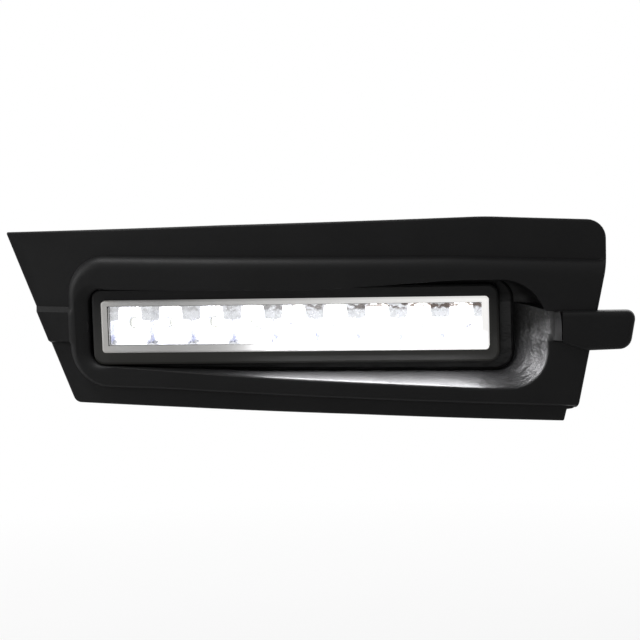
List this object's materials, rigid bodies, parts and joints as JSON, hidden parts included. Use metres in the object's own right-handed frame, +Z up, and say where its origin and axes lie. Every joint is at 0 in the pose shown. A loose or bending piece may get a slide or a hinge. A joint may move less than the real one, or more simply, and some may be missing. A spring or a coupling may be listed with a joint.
{
  "type": "daytime running light",
  "caption": "Daytime running light: a lit rectangular lamp in the scooped recess of a matt black bumper cover panel, with heat sink, brackets and clips behind.",
  "frame": {"origin": "midway between the two bumper screw holes, in the plane of the rear faces of their ears; the lamp's axis passes through it", "axes": "+X along the panel to the right in the picture, +Y back into the bumper along the screws, +Z up"},
  "size_m": [0.2931, 0.0665, 0.0918],
  "materials": {
    "panel_plastic": "fine-grained matt black",
    "housing_plastic": "satin black",
    "lens_clear": "clear, polished",
    "seal_rubber": "matt",
    "reflector_coating": "bright coated",
    "light_source": "lit",
    "board_white": "white solder mask",
    "pad_rubber": "soft, matt",
    "socket_plastic": "natural",
    "sink_aluminium": "cast, plain",
    "bracket_steel": "zinc plated",
    "screw_steel": "zinc plated",
    "spring_steel": "plain spring steel"
  },
  "bodies": {
    "root": {"cover_panel": "panel_plastic", "lamp_housing": "housing_plastic", "lens": "lens_clear", "lens_seal": "seal_rubber", "reflector": "reflector_coating", "led_1": "light_source", "led_2": "light_source", "led_3": "light_source", "led_4": "light_source", "led_5": "light_source", "led_6": "light_source", "led_7": "light_source", "led_8": "light_source", "led_9": "light_source", "led_board": "board_white", "thermal_pad": "pad_rubber", "lead_socket": "socket_plastic", "heat_sink": "sink_aluminium", "sink_seal": "seal_rubber", "sink_screw_1": "screw_steel", "sink_screw_2": "screw_steel", "sink_screw_3": "screw_steel", "sink_screw_4": "screw_steel", "sink_screw_5": "screw_steel", "sink_screw_6": "screw_steel", "cable_gland": "housing_plastic", "vent_plug": "housing_plastic", "bracket_left": "bracket_steel", "bracket_right": "bracket_steel", "bracket_screw_1": "screw_steel", "bracket_screw_2": "screw_steel", "bracket_screw_3": "screw_steel", "bracket_screw_4": "screw_steel", "bumper_bracket_left": "bracket_steel", "bumper_bracket_right": "bracket_steel", "bumper_bracket_screw_1": "screw_steel", "bumper_bracket_screw_2": "screw_steel", "clip_upper_left": "spring_steel", "clip_upper_right": "spring_steel", "clip_lower_left": "spring_steel", "clip_lower_right": "spring_steel"}
  },
  "joints": []
}
